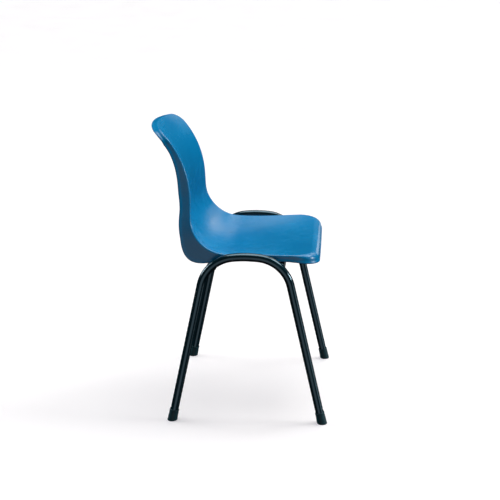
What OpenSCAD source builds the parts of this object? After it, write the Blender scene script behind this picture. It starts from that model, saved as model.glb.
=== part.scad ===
// Stacking student chair: one-piece moulded shell on two bent-tube side hoops.
// Millimetres. +Z is up, the sitter faces -Y, and X = 0 is the plane of symmetry.
// The origin is on the floor, under the middle of the chair's overall box.
// Side-view positions are given as [forward, up], with forward counted from the line of the rear feet.

/* [Frame] */
// Outside diameter of the hoop tube
tube_d = 22; // [19:0.5:24]
// Wall of the hoop tube and of the rails
tube_wall = 1.5; // [1.2:0.1:2]
// Distance on the floor from the rear feet to the front feet
wheelbase = 410; // [390:1:430]
// Sideways distance from the middle of the chair to a foot
half_track = 220; // [216:1:228]
// Sideways distance from the middle of the chair to the top of a hoop
half_top = 203; // [202:0.5:207]
// Height of the tube's centre line at the top of a hoop
hoop_top = 466.5; // [455:0.5:470]
// Fore-and-aft lean of each leg from the vertical
leg_rake = 12.5; // [11:0.1:14]
// Centre-line radius of the two bends in a hoop
bend_r = 97; // [90:1:105]
// Centre-line radius of the gentle bow over the top of a hoop, between its bends
bow_r = 300; // [260:10:400]

/* [Cross rails] */
// Outside diameter of a rail
rail_d = 18; // [16:0.5:19]
// Forward distance from the middle of the wheelbase to a rail
rail_reach = 92; // [88:0.5:96]
// Drop of the rail's middle below its ends
rail_drop = 19; // [16:1:22]
// Slope of the cranked stretch of a rail
rail_crank = 35; // [30:1:40]
// Centre-line radius of the bends in a rail
rail_bend_r = 28; // [24:1:30]

/* [Shell] */
// Height of the rim along the sides of the seat
rim_z = 467; // [465:1:470]
// Gentle rise of the seat rim from its turn to its front
front_rise = 4; // [0:1:8]
// Forward position where the flat seat rim ends and the front edge rolls down
rim_front = 375; // [370:1:380]
// Forward position where the seat rim starts to turn up into the back
rim_rear = 156; // [150:1:160]
// Side-view radius of the turn from the seat to the back
turn_r = 97; // [92:1:102]
// Height of the upright stretch above the turn
upright = 38; // [34:1:42]
// Side-view radius of the back as it curls rearwards
back_r = 255; // [245:5:275]
// Angle through which the back curls rearwards
back_curl = 42.5; // [40:0.5:46]
// Rise of the middle of the top edge above its corners
top_crown = 32; // [24:1:36]
// Wall thickness of the shell
shell_t = 4; // [3.5:0.1:5]
// Corner radius at the front of the seat
front_corner = 46; // [40:1:52]
// Corner radius at the top of the back
top_corner = 35; // [30:1:48]
// Radius of the rolled edge along the sides
side_roll = 4; // [3.5:0.1:5]
// Radius of the waterfall at the front edge
front_roll = 20; // [14:1:22]
// Radius of the roll at the top edge
top_roll = 7; // [5:0.5:12]

/* [Fixings] */
// Sideways distance from the middle to a fixing screw
screw_x = 92; // [85:1:98]
// Forward distance from a rail to its screws, towards the middle of the seat
screw_reach = 20; // [18:0.5:24]
// Outside diameter of a boss
boss_d = 17; // [15:0.5:20]
// Shank diameter of a fixing screw
screw_d = 5.5; // [5:0.1:6]
// Length of a fixing screw under its head
screw_len = 14; // [12:1:15]

/* [Feet] */
// Height of a foot ferrule, along the leg
ferrule_h = 33; // [28:1:38]
// Outside diameter at the top of a ferrule
ferrule_top_d = 24.8; // [24.4:0.2:26]
// Outside diameter at the sole of a ferrule
ferrule_sole_d = 27; // [26:0.2:28]

/* [Hidden] */
$fn = 64;

// Half-width of the rim, depth of the dish at the middle and depth of the skirt, each as
// [distance along the rim from the front edge, value].
WIDTH = [[0, 189], [50, 189], [110, 182], [170, 178], [240, 181], [310, 180], [375, 165], [435, 152],
         [530, 141], [620, 129.5]];
DISH = [[0, 7], [80, 15], [180, 24], [290, 30], [390, 24], [470, 18], [560, 15], [620, 12]];
SKIRT = [[0, 29], [50, 19], [100, 18.5], [140, 21], [190, 20], [245, 28], [290, 56.5], [335, 39],
         [385, 30], [435, 32], [515, 24], [585, 18.5], [620, 17.5]];
// Angle by which the skirt at the top edge slopes down from straight back, and where that starts
top_drop = 25;
top_drop_s = 540;
// Power of the curve across the dish: 2 is a parabola, and more is flatter in the middle.
dish_power = 2.2;
// Outward lean of the skirt over its whole depth
skirt_flare = 1.5;

turn_s = rim_front - rim_rear;
turn_len = turn_r*PI/2;
upright_s = turn_s + turn_len;
curl_s = upright_s + upright;
curl_len = back_r*back_curl*PI/180;
rim_len = curl_s + curl_len;
back_x = rim_rear - turn_r;
curl_z = rim_z + turn_r + upright;

// Overall box: from the top edge's skirt at the back to the front feet.
rear_end = -59.6;
front_end = wheelbase + ferrule_sole_d/2/cos(leg_rake);
middle = (rear_end + front_end)/2;

tilt = atan((half_track - half_top)/hoop_top);
plane_h = hoop_top/cos(tilt);
// Each bend is tangent to its leg and to the bow. bow_half is half the turn of the bow, and bend_at and
// bend_up are the place of a bend's centre from the middle of the wheelbase and from the floor.
bow_reach = wheelbase/2*cos(leg_rake) - (plane_h - bow_r)*sin(leg_rake) - bend_r;
bow_half = asin(bow_reach/(bow_r - bend_r)) - leg_rake;
bend_turn = 90 - leg_rake - bow_half;
bend_at = (bow_r - bend_r)*sin(bow_half);
bend_up = plane_h - bow_r + (bow_r - bend_r)*cos(bow_half);
leg_len = (wheelbase/2 - bend_at)*sin(leg_rake) + bend_up*cos(leg_rake);
disc_z = 5;
disc_t = 1.5;
leg_start = disc_z + disc_t;

// Place on the bend where a rail meets its hoop.
rail_fwd = [wheelbase/2 - rail_reach, wheelbase/2 + rail_reach];
rail_off = rail_reach - bend_at;
rail_plane_z = bend_up + sqrt(bend_r*bend_r - rail_off*rail_off);
rail_end_z = rail_plane_z*cos(tilt);
rail_end_x = half_track - rail_plane_z*sin(tilt);
rail_mid_z = rail_end_z - rail_drop;
crank_run = (rail_drop - 2*rail_bend_r*(1 - cos(rail_crank)))/sin(rail_crank);
crank_x = 2*rail_bend_r*sin(rail_crank) + crank_run*cos(rail_crank);
rail_stub = 14;
rail_flat = rail_end_x - rail_stub - crank_x;

plate_t = 2.5;
plate_z = rail_mid_z + rail_d/2 - 0.6;
plate_w = 30;
boss_z = plate_z + plate_t;
washer_t = 1.2;
washer_d = 14;
head_d = 11;
head_h = 3.6;

SIDES = [-1, 1];
ENDS = [0, 1];
SIDE_NAME = ["right", "left"];
END_NAME = ["rear", "front"];

// ---------- helpers ----------

// Row frame from [forward, sideways, up].
function place(f, x, z) = [x, middle - f, z];
function unit(v) = v/norm(v);
function mix(a, b, t) = a + (b - a)*t;
function clamp01(t) = max(0, min(1, t));

// Smooth curve through [position, value] pairs, by cubic pieces with the mean slope at each pair.
function knot(k, s, i = 0) = i >= len(k) - 2 || s < k[i + 1][0] ? i : knot(k, s, i + 1);
function slope(k, i) =
    let (a = max(i - 1, 0), b = min(i + 1, len(k) - 1)) (k[b][1] - k[a][1])/(k[b][0] - k[a][0]);
function curve(k, s) =
    let (i = knot(k, s), h = k[i + 1][0] - k[i][0], t = clamp01((s - k[i][0])/h))
    (1 + 2*t)*(1 - t)*(1 - t)*k[i][1] + t*(1 - t)*(1 - t)*h*slope(k, i)
    + t*t*(3 - 2*t)*k[i + 1][1] - t*t*(1 - t)*h*slope(k, i + 1);

// ---------- shell surface ----------

// Rim in side view at distance s from the front edge: [forward, up, heading], where a heading
// of 0 runs rearwards and 90 runs up.
function rim(s) =
    s < turn_s ? [rim_front - s, rim_z + front_rise*pow(1 - s/turn_s, 2), 0]
    : s < upright_s ? let (h = (s - turn_s)/turn_r*180/PI)
        [rim_rear - turn_r*sin(h), rim_z + turn_r*(1 - cos(h)), h]
    : s < curl_s ? [back_x, rim_z + turn_r + s - upright_s, 90]
    : let (h = (s - curl_s)/back_r*180/PI)
        [back_x - back_r*(1 - cos(h)), curl_z + back_r*sin(h), 90 - h];

// Sitting surface at sideways distance x and rim distance s, as [forward, sideways, up].
function seat(x, s) =
    let (r = rim(s), d = curve(DISH, s)*(1 - pow(min(1, abs(x)/curve(WIDTH, s)), dish_power)))
    [r[0] - d*sin(r[2]), x, r[1] - d*cos(r[2])];
function seat_dx(x, s) = unit(seat(x + 0.5, s) - seat(x - 0.5, s));
function seat_ds(x, s) = unit(seat(x, s + 0.5) - seat(x, s - 0.5));
function seat_n(x, s) = unit(cross(seat_dx(x, s), seat_ds(x, s)));

// Rim seen flat, as [sideways, distance along the rim]: from the middle of the front edge,
// round one side to the middle of the top edge. Half of the closed outline.
corner_steps = 7;
front_w = curve(WIDTH, front_corner) - front_corner;
top_w = curve(WIDTH, rim_len - top_corner) - top_corner;
side_s = [for (i = [1:22]) mix(front_corner, rim_len - top_corner, i/23)];
HALF = concat(
    [for (i = [0:5]) [front_w*i/6, 0]],
    [for (i = [0:corner_steps]) let (a = 90*i/corner_steps)
        [front_w + front_corner*sin(a), front_corner*(1 - cos(a))]],
    [for (s = side_s) [curve(WIDTH, s), s]],
    [for (i = [0:corner_steps]) let (a = 90*i/corner_steps)
        [top_w + top_corner*cos(a), rim_len - top_corner*(1 - sin(a))]],
    [for (i = [5:-1:0]) [top_w*i/6, rim_len]]);
LOOP = concat(
    HALF, [for (i = [len(HALF) - 2:-1:1]) [-HALF[i][0], HALF[i][1]]]);
count = len(LOOP);
centre_s = 250;

// Point of the flat outline, with the top edge raised in the middle.
function crown(p) =
    [p[0], p[1] + top_crown*clamp01((p[1] - 400)/(rim_len - 400))*(1 - pow(p[0]/140, 2))];
RIM = [for (p = LOOP) p[1] > 400 ? crown(p) : p];
function next(i) = (i + 1)%count;
function prev(i) = (i + count - 1)%count;

// Frame at each rim point: outward direction in the surface, skirt direction, roll radius, depth.
function out_flat(i) = let (d = RIM[next(i)] - RIM[prev(i)]) unit([d[1], -d[0]]);
function heading_of(s) =
    s > upright_s ? 90 - top_drop*clamp01((s - top_drop_s)/(rim_len - top_drop_s)) : rim(s)[2];
function skirt_dir(s) = let (h = heading_of(s)) [-sin(h), 0, -cos(h)];
function roll_r(i) =
    let (e = pow(abs(out_flat(i)[1]), 1.5))
    mix(side_roll, out_flat(i)[1] < 0 ? front_roll : top_roll, e);
FRAME = [for (i = [0:count - 1])
    let (x = RIM[i][0], s = RIM[i][1], o = out_flat(i), p = seat(x, s),
         out = unit(seat_dx(x, s)*o[0] + seat_ds(x, s)*o[1]),
         down = skirt_dir(s), across = unit(down - out*(down*out)),
         turn = acos(down*out))
    [p, out, down, across, turn, roll_r(i), curve(SKIRT, s)]];

// Points of one ring round the rim: roll at fraction t of its turn, or the skirt below it.
function roll_pt(f, t, inset) =
    let (r = f[5] - inset, a = f[4]*t, c = f[0] + f[3]*f[5])
    c + (f[1]*sin(a) - f[3]*cos(a))*r;
function skirt_pt(f, t, inset) =
    let (fall = max(3, f[6] - f[5]*(1 - cos(f[4]))))
    roll_pt(f, 1, inset) + f[2]*fall*t + f[1]*skirt_flare*t;

function to_row(p) = place(p[0], p[1], p[2]);
function inner_ring(q, sink) =
    [for (p = RIM) let (x = p[0]*q, s = centre_s + (p[1] - centre_s)*q)
        to_row(seat(x, s) - seat_n(x, s)*sink)];

INNER = [0.12, 0.25, 0.38, 0.5, 0.61, 0.71, 0.8, 0.88, 0.94, 0.98];
ROLL = [0, 0.33, 0.67, 1];

module moulding() {
    rings = concat(
        [for (q = INNER) inner_ring(q, 0)],
        [for (t = ROLL) [for (f = FRAME) to_row(roll_pt(f, t, 0))]],
        [for (t = [0.5, 1]) [for (f = FRAME) to_row(skirt_pt(f, t, 0))]],
        [for (t = [1, 0.5]) [for (f = FRAME) to_row(skirt_pt(f, t, shell_t - 0.5))]],
        [[for (f = FRAME) to_row(roll_pt(f, 1, shell_t - 0.5))]],
        [for (i = [len(INNER) - 2:-1:0]) inner_ring(INNER[i], shell_t)]);
    n = len(rings);
    top = [to_row(seat(0, centre_s))];
    bottom = [to_row(seat(0, centre_s) - seat_n(0, centre_s)*shell_t)];
    points = concat(top, [for (r = rings) each r], bottom);
    last = len(points) - 1;
    faces = concat(
        [for (i = [0:count - 1]) [0, 1 + next(i), 1 + i]],
        [for (k = [0:n - 2]) for (i = [0:count - 1])
            let (a = 1 + k*count, b = a + count)
            each [[a + i, b + next(i), b + i], [a + i, a + next(i), b + next(i)]]],
        [for (i = [0:count - 1]) let (a = 1 + (n - 1)*count) [last, a + i, a + next(i)]]);
    polyhedron(points, faces, convexity = 8);
}

// Boss under the seat at the fixing screw, with its blind pilot bore and four gussets.
function screw_fwd(e) = rail_fwd[e] + (e == 0 ? screw_reach : -screw_reach);
// Sitting surface at a given forward position, found by stepping along the rim.
function seat_at(x, f, s = undef, n = 4) =
    let (t = s == undef ? rim_front - f : s, p = seat(x, t)) n == 0 ? p : seat_at(x, f, t + p[0] - f, n - 1);
bore_d = screw_d + 0.1;
gusset_t = 2;
gusset_len = 24;

module boss(e, side) {
    f = screw_fwd(e);
    top = seat_at(screw_x, f)[2] - shell_t/2;
    translate(place(f, side*screw_x, boss_z)) cylinder(d = boss_d, h = top - boss_z);
}
module gusset(e, side, dir) {
    f = screw_fwd(e);
    run = [for (i = [0:4]) gusset_len*i/4];
    under = [for (r = run) [r, seat_at(screw_x + (dir[0] ? dir[0]*r : 0), f + dir[1]*r)[2] - shell_t + 1]];
    low = boss_z + 4;
    translate(place(f, side*screw_x, 0))
    rotate([90, 0, dir[0] ? (side*dir[0] > 0 ? 0 : 180) : (dir[1] > 0 ? -90 : 90)])
    translate([0, 0, -gusset_t/2]) linear_extrude(gusset_t)
        polygon(concat([[boss_d/2 - 1, low]], [for (i = [4:-1:0]) under[i]], [[0, low]]));
}
module pilot_bore(e, side) {
    f = screw_fwd(e);
    translate(place(f, side*screw_x, boss_z - 1)) cylinder(d = bore_d, h = screw_len - plate_t - washer_t + 2);
}
module seat_shell() {
    color("#0a80be") difference() {
        union() {
            moulding();
            for (e = ENDS, side = SIDES) {
                boss(e, side);
                for (dir = [[1, 0], [-1, 0], [0, 1], [0, -1]]) gusset(e, side, dir);
            }
        }
        for (e = ENDS, side = SIDES) pilot_bore(e, side);
    }
}

// ---------- frame ----------

// Bent tube laid in its own plane: it starts at the origin along +Y, and each step is
// [straight length, turn, bend radius], where a positive turn goes towards +X.
// A straight is a hair slimmer than its elbows and reaches a hair into them.
hair = 0.12;
module straight(len, d) {
    rotate([-90, 0, 0]) rotate([0, 0, 180]) translate([0, 0, -hair])
    cylinder(d = d - hair, h = len + 2*hair);
}
module elbow(turn, radius, d) {
    translate([turn > 0 ? radius : -radius, 0, 0]) rotate([0, 0, turn > 0 ? 180 - turn : 0])
    rotate_extrude(angle = abs(turn)) translate([radius, 0]) circle(d = d);
}
module bent_tube(steps, d, i = 0) {
    step = steps[i];
    hand = step[1] < 0 ? -1 : 1;
    straight(step[0], d);
    if (step[1] != 0) translate([0, step[0], 0]) {
        elbow(step[1], step[2], d);
        translate([hand*step[2]*(1 - cos(step[1])), step[2]*sin(abs(step[1])), 0])
        rotate([0, 0, -step[1]]) bent_tube(steps, d, i + 1);
    }
}

// The plane of one side hoop: local X runs forward from the rear foot, and local Y runs up.
module hoop_plane(side) {
    translate([side*half_track, middle, 0]) rotate([0, -side*tilt, 0]) rotate([90, 0, -90])
    children();
}
// Straight lengths and bends of a hoop, with its cut ends run out by the given amount.
function hoop_steps(over) = [[leg_len - leg_start + over, bend_turn, bend_r], [0, 2*bow_half, bow_r],
    [0, bend_turn, bend_r], [leg_len - leg_start + over, 0, 0]];
module hoop_tube(side, d, over) {
    hoop_plane(side) rotate([0, 0, -leg_rake]) translate([0, leg_start - over, 0])
    bent_tube(hoop_steps(over), d);
}
module side_hoop(side) {
    color("#12191d") difference() {
        hoop_tube(side, tube_d, 0);
        hoop_tube(side, tube_d - 2*tube_wall, 1);
    }
}

// Cranked rail, coped at each end where it is welded to the side of the hoop tube.
function rail_steps(over) = [[rail_stub + over, rail_crank, rail_bend_r],
    [crank_run, -rail_crank, rail_bend_r], [2*rail_flat, -rail_crank, rail_bend_r],
    [crank_run, rail_crank, rail_bend_r], [rail_stub + over, 0, 0]];
module rail_tube(e, d, over) {
    translate(place(rail_fwd[e], -rail_end_x - over, rail_end_z)) rotate([90, 0, 0]) rotate([0, 0, -90])
    bent_tube(rail_steps(over), d);
}
// The elbow of a hoop where a rail meets it.
module hoop_elbow(e, side, d) {
    at = e == 0 ? 1 : -1;
    hoop_plane(side) translate([wheelbase/2 - at*bend_at, bend_up, 0])
    rotate([0, 0, e == 0 ? 90 + bow_half : leg_rake]) rotate_extrude(angle = bend_turn)
    translate([bend_r, 0]) circle(d = d);
}
module cross_rail(e) {
    color("#151c20") difference() {
        rail_tube(e, rail_d, 0);
        rail_tube(e, rail_d - 2*tube_wall, 1);
        for (side = SIDES) hoop_elbow(e, side, tube_d);
    }
}

// ---------- fixings ----------

plate_back = 7;
plate_front = screw_reach + 11;
plate_r = 3;
module fixing_plate(e, side) {
    back = (e == 0 ? -plate_front : -plate_back) + plate_r;
    color("#1b2226") difference() {
        translate(place(rail_fwd[e], side*screw_x, plate_z)) linear_extrude(plate_t)
            offset(r = plate_r, $fn = 32) translate([-plate_w/2 + plate_r, back])
            square([plate_w - 2*plate_r, plate_back + plate_front - 2*plate_r]);
        translate(place(screw_fwd(e), side*screw_x, plate_z - 1)) cylinder(d = screw_d + 1, h = plate_t + 2);
        translate(place(rail_fwd[e], 0, rail_mid_z)) rotate([0, 90, 0])
            cylinder(d = rail_d + 0.2, h = 2*screw_x + 2*plate_w, center = true);
    }
}
module washer(e, side) {
    color("#b9bdc0") translate(place(screw_fwd(e), side*screw_x, plate_z - washer_t)) difference() {
        cylinder(d = washer_d, h = washer_t);
        translate([0, 0, -1]) cylinder(d = screw_d + 0.5, h = washer_t + 2);
    }
}
// Pan-head screw, driven up from below, with a cross recess.
module shell_screw(e, side) {
    recess = 1.1;
    color("#c4c8ca") translate(place(screw_fwd(e), side*screw_x, plate_z - washer_t)) {
        cylinder(d = screw_d, h = screw_len - 1.5);
        translate([0, 0, screw_len - 1.5]) cylinder(d1 = screw_d, d2 = screw_d - 2.5, h = 1.5);
        difference() {
            union() {
                translate([0, 0, -head_h*0.6]) cylinder(d = head_d, h = head_h*0.6);
                translate([0, 0, -head_h]) cylinder(d1 = head_d - 2.5, d2 = head_d, h = head_h*0.4);
            }
            for (a = [0, 90]) rotate([0, 0, a])
                translate([-2.8, -recess/2, -head_h - 1]) cube([5.6, recess, 3]);
        }
    }
}

// ---------- feet ----------

// The foot of one leg, at e = 0 behind and e = 1 in front: local Z runs up the leg.
module leg_foot(e, side) {
    hoop_plane(side) translate([e*wheelbase, 0, 0]) rotate([0, 0, e == 0 ? -leg_rake : leg_rake])
    rotate([-90, 0, 0]) children();
}
module ferrule_disc(e, side) {
    color("#8f9498") leg_foot(e, side) translate([0, 0, disc_z])
    cylinder(d = tube_d - 0.6, h = disc_t);
}
module foot_ferrule(e, side) {
    lip_h = 2;
    color("#0d1012") difference() {
        leg_foot(e, side) difference() {
            union() {
                translate([0, 0, -5]) cylinder(d1 = ferrule_sole_d, d2 = ferrule_sole_d, h = 5 + 3);
                translate([0, 0, 3]) cylinder(d1 = ferrule_sole_d, d2 = ferrule_top_d, h = ferrule_h - 3);
            }
            translate([0, 0, disc_z]) cylinder(d = tube_d + 0.1, h = ferrule_h);
            translate([0, 0, ferrule_h - 1]) cylinder(d1 = tube_d + 0.1, d2 = tube_d + 1.5, h = 1.01);
        }
        translate(place(wheelbase*e, side*half_track, 0) - [40, 40, 40]) cube([80, 80, 40]);
    }
}

seat_shell();
for (i = [0, 1]) side_hoop(SIDES[i]);
for (e = ENDS) cross_rail(e);
for (e = ENDS, i = [0, 1]) {
    place_name = str(END_NAME[e], "_", SIDE_NAME[i]);
    fixing_plate(e, SIDES[i]);
    washer(e, SIDES[i]);
    shell_screw(e, SIDES[i]);
    ferrule_disc(e, SIDES[i]);
    foot_ferrule(e, SIDES[i]);
}
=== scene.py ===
"""Student chair: a moulded shell on two bent-tube hoops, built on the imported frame.

Sizes are in millimetres where they repeat the CAD source, and become metres in row().
Side-view positions are (forward, up), with forward counted from the line of the rear feet.
"""

import math

import bmesh
import bpy
import numpy as np
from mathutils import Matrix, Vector


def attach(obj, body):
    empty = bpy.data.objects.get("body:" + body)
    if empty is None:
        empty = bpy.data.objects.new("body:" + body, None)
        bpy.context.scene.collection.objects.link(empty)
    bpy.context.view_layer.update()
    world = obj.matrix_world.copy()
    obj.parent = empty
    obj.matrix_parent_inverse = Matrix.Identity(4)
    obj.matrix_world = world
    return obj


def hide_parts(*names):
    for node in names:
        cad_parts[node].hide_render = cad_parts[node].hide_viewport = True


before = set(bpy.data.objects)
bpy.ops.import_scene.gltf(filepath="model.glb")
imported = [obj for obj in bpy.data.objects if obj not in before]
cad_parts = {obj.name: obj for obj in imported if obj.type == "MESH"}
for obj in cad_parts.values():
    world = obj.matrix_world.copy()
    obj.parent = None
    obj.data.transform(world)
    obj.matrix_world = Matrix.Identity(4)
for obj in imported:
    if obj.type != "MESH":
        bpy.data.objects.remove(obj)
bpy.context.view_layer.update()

# ---------- sizes shared with the CAD source ----------

MIDDLE = 182.11
TUBE_D, TUBE_WALL = 22.0, 1.5
WHEELBASE, HALF_TRACK, HALF_TOP, HOOP_TOP = 410.0, 220.0, 203.0, 466.5
LEG_RAKE, BEND_R, BOW_R = math.radians(12.5), 97.0, 300.0
RAIL_D, RAIL_REACH, RAIL_DROP = 18.0, 92.0, 19.0
RAIL_CRANK, RAIL_BEND_R, RAIL_STUB = math.radians(35), 28.0, 14.0
RIM_Z, FRONT_RISE, RIM_FRONT, RIM_REAR = 467.0, 4.0, 375.0, 156.0
TURN_R, UPRIGHT, BACK_R, BACK_CURL = 97.0, 38.0, 255.0, math.radians(42.5)
TOP_CROWN, CROWN_START, CROWN_HALF = 32.0, 400.0, 140.0
SHELL_T, SKIRT_T, FRONT_CORNER, TOP_CORNER = 4.0, 3.5, 46.0, 35.0
SIDE_ROLL, FRONT_ROLL, TOP_ROLL = 4.0, 20.0, 7.0
TOP_DROP, TOP_DROP_S = math.radians(25), 540.0
DISH_POWER, SKIRT_FLARE, BEAD, MIN_FALL = 2.2, 1.5, 1.1, 3.0
SCREW_X, SCREW_REACH, BOSS_D, SCREW_D, GUSSET_T, GUSSET_LEN = 92.0, 20.0, 17.0, 5.5, 2.0, 24.0
FERRULE_H, FERRULE_TOP_D, FERRULE_SOLE_D = 33.0, 24.8, 27.0
SOLE_RECESS, SOCKET_SHOWN = 0.7, 12.0
LEG_START = 6.5

WIDTH = [(0, 189), (50, 189), (110, 182), (170, 178), (240, 181), (310, 180), (375, 165), (435, 152),
         (530, 141), (620, 129.5)]
DISH = [(0, 7), (80, 15), (180, 24), (290, 30), (390, 24), (470, 18), (560, 15), (620, 12)]
SKIRT = [(0, 29), (50, 19), (100, 18.5), (140, 21), (190, 20), (245, 28), (290, 56.5), (335, 39),
         (385, 30), (435, 32), (515, 24), (585, 18.5), (620, 17.5)]

TURN_S = RIM_FRONT - RIM_REAR
UPRIGHT_S = TURN_S + TURN_R * math.pi / 2
CURL_S = UPRIGHT_S + UPRIGHT
RIM_LEN = CURL_S + BACK_R * BACK_CURL
BACK_F = RIM_REAR - TURN_R
CURL_Z = RIM_Z + TURN_R + UPRIGHT

TILT = math.atan((HALF_TRACK - HALF_TOP) / HOOP_TOP)
PLANE_H = HOOP_TOP / math.cos(TILT)
BOW_REACH = WHEELBASE / 2 * math.cos(LEG_RAKE) - (PLANE_H - BOW_R) * math.sin(LEG_RAKE) - BEND_R
BOW_HALF = math.asin(BOW_REACH / (BOW_R - BEND_R)) - LEG_RAKE
BEND_TURN = math.pi / 2 - LEG_RAKE - BOW_HALF
BEND_AT = (BOW_R - BEND_R) * math.sin(BOW_HALF)
BEND_UP = PLANE_H - BOW_R + (BOW_R - BEND_R) * math.cos(BOW_HALF)
LEG_LEN = (WHEELBASE / 2 - BEND_AT) * math.sin(LEG_RAKE) + BEND_UP * math.cos(LEG_RAKE)

RAIL_FWD = [WHEELBASE / 2 - RAIL_REACH, WHEELBASE / 2 + RAIL_REACH]
RAIL_PLANE_Z = BEND_UP + math.sqrt(BEND_R**2 - (RAIL_REACH - BEND_AT) ** 2)
RAIL_END_Z = RAIL_PLANE_Z * math.cos(TILT)
RAIL_END_X = HALF_TRACK - RAIL_PLANE_Z * math.sin(TILT)
RAIL_MID_Z = RAIL_END_Z - RAIL_DROP
CRANK_RUN = (RAIL_DROP - 2 * RAIL_BEND_R * (1 - math.cos(RAIL_CRANK))) / math.sin(RAIL_CRANK)
CRANK_X = 2 * RAIL_BEND_R * math.sin(RAIL_CRANK) + CRANK_RUN * math.cos(RAIL_CRANK)
RAIL_FLAT = RAIL_END_X - RAIL_STUB - CRANK_X
PLATE_T, PLATE_SINK, PLATE_WELD_LEN = 2.5, 0.6, 26.0
PLATE_Z = RAIL_MID_Z + RAIL_D / 2 - PLATE_SINK
BOSS_Z = PLATE_Z + PLATE_T

SIDES = [("right", -1), ("left", 1)]
ENDS = [("rear", 0), ("front", 1)]


def row(points):
    """Row-frame metres from an array of (forward, sideways, up) in millimetres."""
    p = np.asarray(points, float)
    return np.stack([p[..., 1], MIDDLE - p[..., 0], p[..., 2]], -1) * 0.001


def unit(v):
    return v / np.linalg.norm(v, axis=-1, keepdims=True)


def clamp01(t):
    return np.clip(t, 0.0, 1.0)


def curve(knots, s):
    """Smooth curve through (position, value) pairs, by cubics with the mean slope at each pair."""
    k = np.array(knots, float)
    x, y = k[:, 0], k[:, 1]
    slope = np.gradient(y, x, edge_order=1)
    slope[1:-1] = (y[2:] - y[:-2]) / (x[2:] - x[:-2])
    s = np.clip(s, x[0], x[-1])
    i = np.clip(np.searchsorted(x, s, side="right") - 1, 0, len(x) - 2)
    h = x[i + 1] - x[i]
    t = (s - x[i]) / h
    return ((1 + 2 * t) * (1 - t) ** 2 * y[i] + t * (1 - t) ** 2 * h * slope[i]
            + t * t * (3 - 2 * t) * y[i + 1] - t * t * (1 - t) * h * slope[i + 1])


# ---------- mesh helpers ----------


def make_mesh(name, verts, faces):
    mesh = bpy.data.meshes.new(name)
    mesh.from_pydata([tuple(v) for v in verts], [], [tuple(int(i) for i in f) for f in faces])
    mesh.validate()
    piece = bpy.data.objects.new(name, mesh)
    bpy.context.scene.collection.objects.link(piece)
    return piece


def finish_piece(piece, material, slot, *nodes):
    """Gives a piece its material and body, and lets it stand for CAD nodes. slot is not used."""
    piece.data.materials.append(material)
    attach(piece, "root")
    if nodes:
        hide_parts(*nodes)


def fix_normals(piece):
    """Turns every face outwards and shades the piece smooth."""
    bm = bmesh.new()
    bm.from_mesh(piece.data)
    bmesh.ops.recalc_face_normals(bm, faces=bm.faces)
    bm.to_mesh(piece.data)
    bm.free()
    piece.data.shade_smooth()


def sharpen(piece, degrees=35):
    """Keeps edges sharper than this as creases in the shading."""
    piece.data.set_sharp_from_angle(angle=math.radians(degrees))


def stitch(count, n, start=0):
    """Quads between count closed rings of n points each, numbered from start."""
    return [(start + k * n + i, start + k * n + (i + 1) % n,
             start + (k + 1) * n + (i + 1) % n, start + (k + 1) * n + i)
            for k in range(count - 1) for i in range(n)]


# ---------- shell surface ----------


def rim_line():
    """Rim in side view, sampled every millimetre and eased where a straight meets an arc."""
    s = np.arange(-60, RIM_LEN + 61, 1.0)
    h = (s - TURN_S) / TURN_R
    c = (s - CURL_S) / BACK_R
    parts = [s < TURN_S, s < UPRIGHT_S, s < CURL_S]
    f = np.select(parts, [RIM_FRONT - s, RIM_REAR - TURN_R * np.sin(h), BACK_F + 0 * s],
                  BACK_F - BACK_R * (1 - np.cos(c)))
    z = np.select(parts, [RIM_Z + FRONT_RISE * (1 - s / TURN_S) ** 2, RIM_Z + TURN_R * (1 - np.cos(h)),
                          RIM_Z + TURN_R + s - UPRIGHT_S], CURL_Z + BACK_R * np.sin(c))
    w = np.exp(-0.5 * (np.arange(-30, 31) / 9.0) ** 2)
    w /= w.sum()
    f, z = (np.convolve(np.pad(a, 30, mode="reflect", reflect_type="odd"), w, "valid") for a in (f, z))
    return s, f, z, np.arctan2(np.gradient(z), -np.gradient(f))


LINE_S, LINE_F, LINE_Z, LINE_H = rim_line()


def rim(s):
    return np.interp(s, LINE_S, LINE_F), np.interp(s, LINE_S, LINE_Z), np.interp(s, LINE_S, LINE_H)


def seat(x, s):
    """Sitting surface at sideways distance x and rim distance s."""
    f, z, h = rim(s)
    d = curve(DISH, s) * (1 - np.minimum(1, np.abs(x) / curve(WIDTH, s)) ** DISH_POWER)
    return np.stack([f - d * np.sin(h), x + 0 * f, z - d * np.cos(h)], -1)


def seat_frame(x, s):
    """Unit directions across and along the surface, and its upward normal."""
    dx = unit(seat(x + 0.5, s) - seat(x - 0.5, s))
    ds = unit(seat(x, s + 0.5) - seat(x, s - 0.5))
    return dx, ds, unit(np.cross(dx, ds))


def shell_grid(columns=88, side_rows=128, corner_rows=12):
    """Flat rim coordinates (x, s) of a grid that fills the shell's outline."""
    a = np.linspace(0, math.pi / 2, corner_rows + 1)
    front_w = float(curve(WIDTH, FRONT_CORNER)) - FRONT_CORNER
    top_w = float(curve(WIDTH, RIM_LEN - TOP_CORNER)) - TOP_CORNER
    side = np.linspace(FRONT_CORNER, RIM_LEN - TOP_CORNER, side_rows + 1)[1:-1]
    s = np.concatenate([FRONT_CORNER * (1 - np.cos(a)), side, RIM_LEN - TOP_CORNER * (1 - np.sin(a))])
    half = np.concatenate([front_w + FRONT_CORNER * np.sin(a), curve(WIDTH, side),
                           top_w + TOP_CORNER * np.cos(a)])
    u = np.linspace(-1, 1, columns + 1)
    x = half[:, None] * u[None, :]
    s = np.repeat(s[:, None], columns + 1, 1)
    rise = clamp01((s - CROWN_START) / (RIM_LEN - CROWN_START)) * (1 - (x / CROWN_HALF) ** 2)
    return x, s + TOP_CROWN * rise


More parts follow.
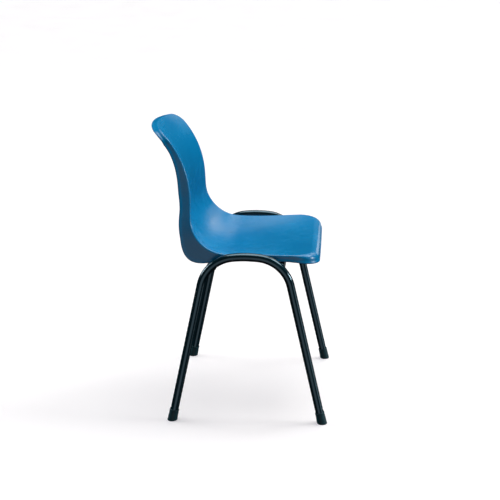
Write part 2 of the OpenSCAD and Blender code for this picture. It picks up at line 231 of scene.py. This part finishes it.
def rim_profile(x, s):
    """Rings from the rim over its roll, down the skirt, round its bead and back up inside."""
    p = seat(x, s)
    dx, ds, _ = seat_frame(x, s)
    flat = np.stack([x, s], -1)
    ahead, behind = unit(np.roll(flat, -1, 0) - flat), unit(flat - np.roll(flat, 1, 0))
    t = unit(ahead + behind)
    o = np.stack([t[:, 1], -t[:, 0]], -1)
    out = unit(dx * o[:, :1] + ds * o[:, 1:])
    drop = TOP_DROP * clamp01((s - TOP_DROP_S) / (RIM_LEN - TOP_DROP_S))
    h = np.where(s > UPRIGHT_S, math.pi / 2 - drop, np.minimum(rim(s)[2], math.pi / 2))
    down = np.stack([-np.sin(h), 0 * h, -np.cos(h)], -1)
    across = unit(down - out * np.sum(down * out, -1, keepdims=True))
    turn = np.arccos(np.clip(np.sum(down * out, -1), -1, 1))[:, None]
    e = np.abs(o[:, 1]) ** 1.5
    r = (SIDE_ROLL + (np.where(o[:, 1] < 0, FRONT_ROLL, TOP_ROLL) - SIDE_ROLL) * e)[:, None]
    fall = np.maximum(MIN_FALL, curve(SKIRT, s)[:, None] - r * (1 - np.cos(turn)))
    centre = p + across * r
    normal = out * np.sin(turn) - across * np.cos(turn)

    def roll(q, inset):
        return centre + (out * np.sin(turn * q) - across * np.cos(turn * q)) * (r - inset)

    def skirt(y, offset):
        return roll(1, 0) + down * y + out * (SKIRT_FLARE * y / fall) + normal * offset

    rings = [roll(q, 0) for q in np.linspace(0, 1, 10)[1:]]
    end = (SKIRT_T + BEAD) / 2
    for q in (0.2, 0.4, 0.6, 0.75, 0.86, 0.94, 1.0):
        y = (fall - end) * q
        rings.append(skirt(y, BEAD * clamp01((y - fall + end + 5.0) / 3.0) ** 2))
    for b in np.linspace(0, math.pi, 9)[1:-1]:
        rings.append(skirt(fall - end + end * math.sin(b), BEAD - end + end * math.cos(b)))
    for q in (1.0, 0.75, 0.5, 0.25, 0.0):
        rings.append(skirt((fall - end) * q, -SKIRT_T))
    rings += [roll(q, SKIRT_T) for q in (0.8, 0.6, 0.4, 0.2)]
    return rings


def seat_at(x, f):
    """Sitting surface at a forward position, found by stepping along the rim."""
    s = RIM_FRONT - f
    for _ in range(5):
        s += float(seat(x, s)[0]) - f
    return seat(x, s)


def boss_parts(f, x):
    """A screw boss with a blind bore, and its four gussets, hanging from the underside of the seat."""
    verts, faces = [], []
    top = seat_at(x, f)[2] - SHELL_T / 2
    profile = [(SCREW_D / 2 - 0.1, top - 3), (SCREW_D / 2, BOSS_Z + 0.8), (SCREW_D / 2 + 0.9, BOSS_Z),
               (BOSS_D / 2 - 0.8, BOSS_Z), (BOSS_D / 2 - 0.2, BOSS_Z + 0.3), (BOSS_D / 2, BOSS_Z + 1),
               (BOSS_D / 2 + 0.15, top - 7), (BOSS_D / 2 + 0.9, top - 4), (BOSS_D / 2 + 2.6, top - 2),
               (BOSS_D / 2 + 5, top)]
    n = 40
    for r, z in profile:
        verts += [(f + r * math.cos(t), x + r * math.sin(t), z)
                  for t in (2 * math.pi * i / n for i in range(n))]
    faces += stitch(len(profile), n)
    faces.append(tuple(range(n)))
    for df, dx in ((1, 0), (-1, 0), (0, 1), (0, -1)):
        base = len(verts)
        steps = np.linspace(BOSS_D / 2 - 1, GUSSET_LEN, 9)
        for r in steps:
            g = np.array([f + df * r, x + dx * r])
            under = seat_at(g[1], g[0])[2] - SHELL_T + 1.2
            low = under - (under - BOSS_Z - 4) * (1 - (r - steps[0]) / (steps[-1] - steps[0])) ** 0.9
            for w in (-GUSSET_T / 2, GUSSET_T / 2):
                foot = np.array([-dx, df]) * w
                edge = foot * 0.85
                verts += [(g[0] + foot[0] * 1.25, g[1] + foot[1] * 1.25, under),
                          (g[0] + edge[0], g[1] + edge[1], min(low + 0.4, under - 0.05)),
                          (g[0] + edge[0] * 0.5, g[1] + edge[1] * 0.5, min(low, under - 0.1))]
        for k in range(len(steps) - 1):
            a, b = base + 6 * k, base + 6 * (k + 1)
            faces += [(a, b, b + 1, a + 1), (a + 1, b + 1, b + 2, a + 2), (a + 2, b + 2, b + 5, a + 5),
                      (a + 5, b + 5, b + 4, a + 4), (a + 4, b + 4, b + 3, a + 3)]
    return np.array(verts), faces


def build_shell():
    x, s = shell_grid()
    rows, cols = x.shape
    top = seat(x, s)
    _, _, normal = seat_frame(x, s)
    under = top - normal * SHELL_T
    n = rows * cols
    grid = np.arange(n).reshape(rows, cols)
    loop = np.concatenate([grid[0, :], grid[1:-1, -1], grid[-1, ::-1], grid[-2:0:-1, 0]])
    rings = rim_profile(x.reshape(-1)[loop], s.reshape(-1)[loop])
    m = len(loop)
    verts = [top.reshape(-1, 3)] + rings + [under.reshape(-1, 3)]
    quads = np.stack([grid[:-1, :-1], grid[:-1, 1:], grid[1:, 1:], grid[1:, :-1]], -1).reshape(-1, 4)
    first, last = n, n + m * (len(rings) - 1)
    below = n + m * len(rings)
    faces = [tuple(q[::-1]) for q in quads] + [tuple(q + below) for q in quads]
    for i in range(m):
        j = (i + 1) % m
        faces.append((loop[i], loop[j], first + j, first + i))
        faces.append((last + i, last + j, below + loop[j], below + loop[i]))
    faces += stitch(len(rings), m, start=first)
    verts = np.concatenate(verts)
    for e, fwd in enumerate(RAIL_FWD):
        for _, side in SIDES:
            v, f = boss_parts(fwd + (SCREW_REACH if e == 0 else -SCREW_REACH), side * SCREW_X)
            faces += [tuple(i + len(verts) for i in q) for q in f]
            verts = np.concatenate([verts, v])
    piece = make_mesh("seat_moulding", row(verts), faces)
    fix_normals(piece)
    return piece


# ---------- tubes ----------


def bent_path(start, heading, steps):
    """Plane points and headings of a tube: each step is (straight length, turn, bend radius)."""
    p, a = np.array(start, float), heading
    out = [(p.copy(), a)]
    for length, turn, radius in steps:
        count = max(1, int(length / 25))
        d = np.array([math.sin(a), math.cos(a)])
        if length:
            out += [(p + d * length * k / count, a) for k in range(1, count + 1)]
        p = p + d * length
        if turn:
            hand = 1 if turn > 0 else -1
            centre = p + hand * radius * np.array([math.cos(a), -math.sin(a)])
            count = max(6, int(abs(turn) / math.radians(3)))
            for k in range(1, count + 1):
                b = a + turn * k / count
                q = centre - hand * radius * np.array([math.cos(b), -math.sin(b)])
                out.append((q, b))
            a += turn
            p = out[-1][0]
    return out


def tube_piece(name, path, place, radius, wall, sides=48):
    """Open hollow tube round a plane path. place turns (across, along, off-plane) into row metres."""
    verts = []
    for r, run in ((radius, path), (radius - wall, path[::-1])):
        for p, a in run:
            side = np.array([math.cos(a), -math.sin(a)])
            for i in range(sides):
                t = 2 * math.pi * i / sides
                q = p + side * r * math.cos(t)
                verts.append(place(q[0], q[1], r * math.sin(t)))
    count = 2 * len(path)
    faces = stitch(count, sides)
    last = (count - 1) * sides
    faces += [(last + i, last + (i + 1) % sides, (i + 1) % sides, i) for i in range(sides)]
    piece = make_mesh(name, verts, faces)
    fix_normals(piece)
    sharpen(piece)
    return piece


def hoop_place(side):
    def place(a, b, c):
        x = HALF_TRACK - b * math.sin(TILT) + c * math.cos(TILT)
        return row((a, side * x, b * math.cos(TILT) + c * math.sin(TILT)))
    return place


def build_hoop(side_name, side):
    steps = [(LEG_LEN - LEG_START, BEND_TURN, BEND_R), (0, 2 * BOW_HALF, BOW_R), (0, BEND_TURN, BEND_R),
             (LEG_LEN - LEG_START, 0, 0)]
    start = (LEG_START * math.sin(LEG_RAKE), LEG_START * math.cos(LEG_RAKE))
    path = bent_path(start, LEG_RAKE, steps)
    return tube_piece("hoop_" + side_name, path, hoop_place(side), TUBE_D / 2, TUBE_WALL)


def build_rail(end_name, fwd):
    steps = [(RAIL_STUB, RAIL_CRANK, RAIL_BEND_R), (CRANK_RUN, -RAIL_CRANK, RAIL_BEND_R),
             (2 * RAIL_FLAT, -RAIL_CRANK, RAIL_BEND_R), (CRANK_RUN, RAIL_CRANK, RAIL_BEND_R),
             (RAIL_STUB, 0, 0)]
    path = bent_path((-RAIL_END_X, RAIL_END_Z), math.pi / 2, steps)

    def place(a, b, c):
        return row((fwd + c, a, b))

    return tube_piece("rail_" + end_name, path, place, RAIL_D / 2, TUBE_WALL, sides=40)


def hoop_distance(point, side):
    """Distance from a (forward, sideways, up) point to the hoop's centre line, near a bend."""
    f, x, z = point
    dx, dz = side * x - HALF_TRACK, z
    b = dz * math.cos(TILT) - dx * math.sin(TILT)
    c = dx * math.cos(TILT) + dz * math.sin(TILT)
    at = WHEELBASE / 2 + (BEND_AT if f > WHEELBASE / 2 else -BEND_AT)
    return math.hypot(math.hypot(f - at, b - BEND_UP) - BEND_R, c)


def bead(name, centres, first_axes, second_axes, radius, ripple, closed=True, sides=12):
    """Weld bead along centres, in millimetres, with a rippled surface."""
    verts, n = [], len(centres)
    for k, (c, u, v) in enumerate(zip(centres, first_axes, second_axes)):
        wave = abs(math.sin(k * math.pi * ripple / n))
        taper = 1.0 if closed else min(1.0, 0.35 + 3.0 * min(k, n - 1 - k) / n * 2)
        r = radius * taper * (0.86 + 0.2 * wave + 0.06 * math.sin(k * 1.7) * math.sin(k * 0.37))
        for i in range(sides):
            t = 2 * math.pi * i / sides
            verts.append(row(np.array(c) + (u * math.cos(t) + v * math.sin(t)) * r))
    faces = stitch(n, sides)
    last = (n - 1) * sides
    if closed:
        faces += [(last + i, last + (i + 1) % sides, (i + 1) % sides, i) for i in range(sides)]
    else:
        faces += [tuple(range(sides))[::-1], tuple(last + i for i in range(sides))]
    piece = make_mesh(name, verts, faces)
    fix_normals(piece)
    return piece


def rail_weld(end_name, fwd, side_name, side):
    """Bead round the end of a rail, where it meets its hoop."""
    centres, radial, along = [], [], []
    count = 96
    for k in range(count):
        t = 2 * math.pi * k / count
        u = np.array([math.cos(t), 0, math.sin(t)])
        low, high = RAIL_END_X - 30, RAIL_END_X
        for _ in range(30):
            mid = (low + high) / 2
            p = np.array([fwd, side * mid, RAIL_END_Z]) + u * RAIL_D / 2
            low, high = (mid, high) if hoop_distance(p, side) > TUBE_D / 2 else (low, mid)
        centres.append(np.array([fwd, side * (low + high) / 2, RAIL_END_Z]) + u * (RAIL_D / 2 + 0.3))
        radial.append(u)
        along.append(np.array([0, 1.0, 0]))
    return bead(f"weld_{end_name}_{side_name}", centres, radial, along, 2.3, 24)


def plate_weld(name, fwd, side, edge):
    """Straight bead along a fixing plate. edge is 1 in front of the rail, and -1 behind it."""
    reach = math.sqrt((RAIL_D / 2) ** 2 - (PLATE_Z - RAIL_MID_Z) ** 2)
    count = 60
    centres = [np.array([fwd + edge * (reach + 1.2),
                         side * SCREW_X + (k / (count - 1) - 0.5) * PLATE_WELD_LEN,
                         PLATE_Z - PLATE_SINK]) for k in range(count)]
    u = [np.array([1.0, 0, 0])] * count
    v = [np.array([0, 0, 1.0])] * count
    return bead(name, centres, u, v, 1.9, 14, closed=False, sides=10)


# ---------- feet ----------


def build_ferrule(name, end, side):
    """Rubber ferrule turned round the leg's axis, with its sole cut level with the floor."""
    lean = LEG_RAKE if end == 0 else -LEG_RAKE
    place = hoop_place(side)
    foot = place(end * WHEELBASE, 0, 0)
    up = unit(np.array(place(end * WHEELBASE + math.sin(lean), math.cos(lean), 0)) - foot)
    across = unit(np.array(place(end * WHEELBASE + math.cos(lean), -math.sin(lean), 0)) - foot)
    off = np.cross(up, across)
    sole, top, tube = FERRULE_SOLE_D / 2, FERRULE_TOP_D / 2, TUBE_D / 2
    h = FERRULE_H

    def outer(z):
        return sole + (top - sole) * clamp01((z - 3) / (h - 3)) ** 0.9

    profile = [(0.01, SOLE_RECESS), (sole - 4.2, SOLE_RECESS), (sole - 3.4, 0.0), (sole - 1.4, 0.0),
               (sole - 0.5, 0.35), (sole - 0.05, 1.2)]
    profile += [(outer(z), z) for z in np.linspace(2.2, h - 4.2, 12)]
    profile += [(outer(h - 3.6) + 0.1, h - 3.6), (outer(h - 3) + 0.35, h - 3.1),
                (outer(h - 2) + 0.45, h - 2.2), (top + 0.4, h - 1.2), (top + 0.1, h - 0.4), (top - 0.5, h),
                (tube + 0.5, h - 0.2), (tube + 0.05, h - 1.2), (tube + 0.05, h - SOCKET_SHOWN)]
    n = 56
    verts = []
    for r, z in profile:
        for i in range(n):
            t = 2 * math.pi * i / n
            rad = across * math.cos(t) + off * math.sin(t)
            level = -r * rad[2] / up[2]
            shift = level * (1 - clamp01((z - 1.2) / 7.0))
            verts.append(foot + (rad * r + up * (z + shift)) * 0.001)
    faces = stitch(len(profile), n) + [tuple(range(n))]
    piece = make_mesh(name, verts, faces)
    fix_normals(piece)
    sharpen(piece, 50)
    return piece


# ---------- materials ----------


class Nodes:
    """Small helper that adds shader nodes to a material and links them."""

    def __init__(self, name):
        self.material = bpy.data.materials.new(name)
        self.material.use_nodes = True
        self.tree = self.material.node_tree
        self.shader = self.tree.nodes["Principled BSDF"]

    def add(self, kind, inputs=None, **settings):
        node = self.tree.nodes.new(kind)
        for key, value in settings.items():
            setattr(node, key, value)
        for key, value in (inputs or {}).items():
            self.set(node.inputs[key], value)
        return node

    def set(self, socket, value):
        if isinstance(value, bpy.types.NodeSocket):
            self.tree.links.new(value, socket)
        else:
            socket.default_value = value

    def object_coords(self):
        return self.add("ShaderNodeTexCoord").outputs["Object"]

    def noise(self, coords, scale, detail=2.0, rough=0.5):
        node = self.add("ShaderNodeTexNoise", {"Vector": coords, "Scale": scale, "Detail": detail,
                                               "Roughness": rough})
        return node.outputs["Fac"]

    def remap(self, value, low, high, out_low, out_high):
        node = self.add("ShaderNodeMapRange", {"Value": value, "From Min": low, "From Max": high,
                                               "To Min": out_low, "To Max": out_high})
        return node.outputs["Result"]

    def mix(self, factor, a, b):
        node = self.add("ShaderNodeMix", data_type="RGBA")
        self.set(node.inputs["Factor"], factor)
        self.set(node.inputs[6], a)
        self.set(node.inputs[7], b)
        return node.outputs[2]

    def math(self, operation, a, b):
        node = self.add("ShaderNodeMath", operation=operation)
        self.set(node.inputs[0], a)
        self.set(node.inputs[1], b)
        return node.outputs[0]

    def bump(self, height, strength, distance, normal=None):
        node = self.add("ShaderNodeBump", {"Height": height, "Strength": strength,
                                           "Distance": distance})
        if normal is not None:
            self.set(node.inputs["Normal"], normal)
        return node.outputs["Normal"]

    def finish(self, color=None, rough=None, normal=None, **plain):
        for key, value in (("Base Color", color), ("Roughness", rough), ("Normal", normal)):
            if value is not None:
                self.set(self.shader.inputs[key], value)
        for key, value in plain.items():
            self.shader.inputs[key.replace("_", " ")].default_value = value
        return self.material


def rgb(r, g, b):
    return (r, g, b, 1.0)


def shell_plastic():
    n = Nodes("blue_polypropylene")
    p = n.object_coords()
    cloud = n.noise(p, 9.0, 3.0)
    grain = n.noise(p, 1400.0, 3.0, 0.6)
    pebble = n.add("ShaderNodeTexVoronoi", {"Vector": p, "Scale": 900.0}).outputs["Distance"]
    color = n.mix(n.remap(cloud, 0.35, 0.65, 0, 1), rgb(0.0, 0.200, 0.450), rgb(0.0, 0.224, 0.490))
    rough = n.remap(n.math("ADD", cloud, n.math("MULTIPLY", grain, 0.5)), 0.5, 1.0, 0.22, 0.31)
    fine = n.bump(grain, 0.25, 0.00012)
    normal = n.bump(pebble, 0.3, 0.00012, fine)
    return n.finish(color, rough, normal, Specular_IOR_Level=0.5)


def frame_enamel():
    n = Nodes("black_enamel")
    p = n.object_coords()
    peel = n.noise(p, 260.0, 2.0)
    wear = n.noise(p, 38.0, 4.0, 0.6)
    color = n.mix(n.remap(wear, 0.4, 0.7, 0, 1), rgb(0.002, 0.016, 0.024), rgb(0.003, 0.022, 0.034))
    rough = n.remap(wear, 0.3, 0.75, 0.10, 0.20)
    return n.finish(color, rough, n.bump(peel, 0.12, 0.0002), Specular_IOR_Level=1.0,
                    Specular_Tint=rgb(0.56, 0.84, 1.0))


def ferrule_rubber():
    n = Nodes("black_rubber")
    p = n.object_coords()
    grain = n.noise(p, 1200.0, 3.0, 0.65)
    scuff = n.noise(p, 90.0, 5.0, 0.6)
    color = n.mix(n.remap(scuff, 0.5, 0.75, 0, 1), rgb(0.003, 0.040, 0.054), rgb(0.005, 0.055, 0.074))
    rough = n.remap(scuff, 0.3, 0.7, 0.42, 0.6)
    return n.finish(color, rough, n.bump(grain, 0.35, 0.0001), Specular_IOR_Level=0.35)


def zinc_steel(name, shade, stretch):
    n = Nodes(name)
    p = n.object_coords()
    lines = n.noise(n.add("ShaderNodeMapping", {"Vector": p, "Scale": stretch}).outputs[0], 300.0, 3.0)
    cloud = n.noise(p, 60.0, 3.0)
    color = n.mix(n.remap(cloud, 0.35, 0.65, 0, 1), rgb(shade, shade, shade * 1.03),
                  rgb(shade * 0.8, shade * 0.8, shade * 0.78))
    rough = n.remap(lines, 0.3, 0.7, 0.24, 0.42)
    return n.finish(color, rough, n.bump(lines, 0.15, 0.0001), Metallic=1.0)


PLASTIC = shell_plastic()
ENAMEL = frame_enamel()
RUBBER = ferrule_rubber()
ZINC = zinc_steel("zinc_plate", 0.62, (1.0, 1.0, 6.0))
DISC = zinc_steel("plain_steel", 0.45, (5.0, 1.0, 1.0))

# ---------- the chair ----------

finish_piece(build_shell(), PLASTIC, "seat_plastic", "seat_shell")
for side_name, side in SIDES:
    finish_piece(build_hoop(side_name, side), ENAMEL, "frame_enamel", "side_hoop_" + side_name)
for end_name, end in ENDS:
    finish_piece(build_rail(end_name, RAIL_FWD[end]), ENAMEL, "frame_enamel", "cross_rail_" + end_name)
for end_name, end in ENDS:
    for side_name, side in SIDES:
        place_name = end_name + "_" + side_name
        finish_piece(rail_weld(end_name, RAIL_FWD[end], side_name, side), ENAMEL, "frame_enamel")
        for edge, edge_name in ((1, "a"), (-1, "b")):
            weld = plate_weld(f"plate_weld_{place_name}_{edge_name}", RAIL_FWD[end], side, edge)
            finish_piece(weld, ENAMEL, "frame_enamel")
        finish_piece(build_ferrule("ferrule_" + place_name, end, side), RUBBER, "ferrule_rubber",
                     "foot_ferrule_" + place_name)

# The plates, discs, screws and washers keep their CAD shapes and only take a material.
finishes = {"fixing_plate": ENAMEL, "ferrule_disc": DISC}
for node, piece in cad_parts.items():
    material = next((finishes[kind] for kind in finishes if node.startswith(kind)), ZINC)
    piece.data.materials.clear()
    piece.data.materials.append(material)

# ---------- stage ----------


def add_sun(name, strength, azimuth, elevation, angle, color=(1, 1, 1)):
    """Soft light from far away. azimuth runs from the sitter's front towards the sitter's left."""
    lamp = bpy.data.lights.new(name, "SUN")
    lamp.energy, lamp.angle, lamp.color = strength, math.radians(angle), color
    piece = bpy.data.objects.new(name, lamp)
    bpy.context.scene.collection.objects.link(piece)
    a, e = math.radians(azimuth), math.radians(elevation)
    toward = Vector((math.sin(a) * math.cos(e), -math.cos(a) * math.cos(e), math.sin(e)))
    piece.rotation_euler = toward.to_track_quat("Z", "Y").to_euler()


add_sun("overhead", 2.2, 85, 79, 50)
add_sun("front", 1.22, 20, 50, 26)
add_sun("low_front", 1.05, 0, 14, 12)
add_sun("sheen", 0.16, 66, 30, 20, (1.0, 0.80, 0.56))
add_sun("sheen_soft", 0.20, 50, 30, 30, (1.0, 0.80, 0.56))
add_sun("far_rim", 0.16, 85, 40, 24, (1.0, 0.92, 0.84))
add_sun("behind", 1.4, 165, 22, 30)

# A small soft card beyond the front edge, which shows as the pale band on the nose of the seat.
card_light = bpy.data.lights.new("nose_card", "AREA")
card_light.shape, card_light.size, card_light.energy = "DISK", 0.16, 0.08
card = bpy.data.objects.new("nose_card", card_light)
bpy.context.scene.collection.objects.link(card)
card.location = (0.45, -0.40, 0.45)
card.rotation_euler = Vector((0.95, -0.3, 0.0)).to_track_quat("Z", "Y").to_euler()
card.visible_camera = False

# A dark studio, where the bright floor shows as two soft patches: on the sitter's right and in front.
world = bpy.data.worlds.new("studio")
bpy.context.scene.world = world
world.use_nodes = True
tree = world.node_tree
sky = tree.nodes.new("ShaderNodeTexCoord").outputs["Generated"]


def add_patch(total, direction, spread, strength):
    """Brightness total plus a soft disc of the given half-angle in degrees, round a direction."""
    dot = tree.nodes.new("ShaderNodeVectorMath")
    dot.operation = "DOT_PRODUCT"
    tree.links.new(sky, dot.inputs[0])
    dot.inputs[1].default_value = Vector(direction).normalized()
    disc = tree.nodes.new("ShaderNodeMapRange")
    disc.interpolation_type = "SMOOTHSTEP"
    tree.links.new(dot.outputs["Value"], disc.inputs["Value"])
    disc.inputs["From Min"].default_value = math.cos(math.radians(spread))
    disc.inputs["From Max"].default_value = 1.0
    disc.inputs["To Max"].default_value = strength
    both = tree.nodes.new("ShaderNodeMath")
    tree.links.new(disc.outputs["Result"], both.inputs[0])
    if isinstance(total, bpy.types.NodeSocket):
        tree.links.new(total, both.inputs[1])
    else:
        both.inputs[1].default_value = total
    return both.outputs[0]


brightness = add_patch(0.01, (-0.95, 0.05, -0.28), 38, 0.66)
brightness = add_patch(brightness, (-0.10, -0.95, -0.28), 24, 1.1)
background = tree.nodes["Background"]
background.inputs["Color"].default_value = (0.94, 0.97, 1.0, 1.0)
tree.links.new(brightness, background.inputs["Strength"])


def pale_floor():
    n = Nodes("floor_white")
    rough = n.remap(n.noise(n.object_coords(), 3.0, 3.0), 0.3, 0.7, 0.32, 0.4)
    return n.finish(rgb(0.62, 0.61, 0.60), rough, Specular_IOR_Level=0.5,
                    Emission_Color=rgb(0.92, 0.92, 1.0), Emission_Strength=0.42)


FLOOR_HALF = 40.0
corners = [(x * FLOOR_HALF, y * FLOOR_HALF, 0) for x, y in ((-1, -1), (1, -1), (1, 1), (-1, 1))]
floor = make_mesh("floor", corners, [(0, 1, 2, 3)])
floor.data.materials.append(pale_floor())
floor.visible_diffuse = False
floor.visible_glossy = False

camera = bpy.data.objects.new("camera", bpy.data.cameras.new("camera"))
bpy.context.scene.collection.objects.link(camera)
camera.location = (-2.8697, -0.2633, 1.3656)
camera.rotation_euler = (math.radians(71.670), math.radians(0.186), math.radians(-86.590))
camera.data.sensor_width = 36
camera.data.lens = 77.886
camera.data.shift_x, camera.data.shift_y = -0.0509, 0.0052
camera.data.clip_end = 200
bpy.context.scene.camera = camera
bpy.context.scene.view_settings.view_transform = "Standard"
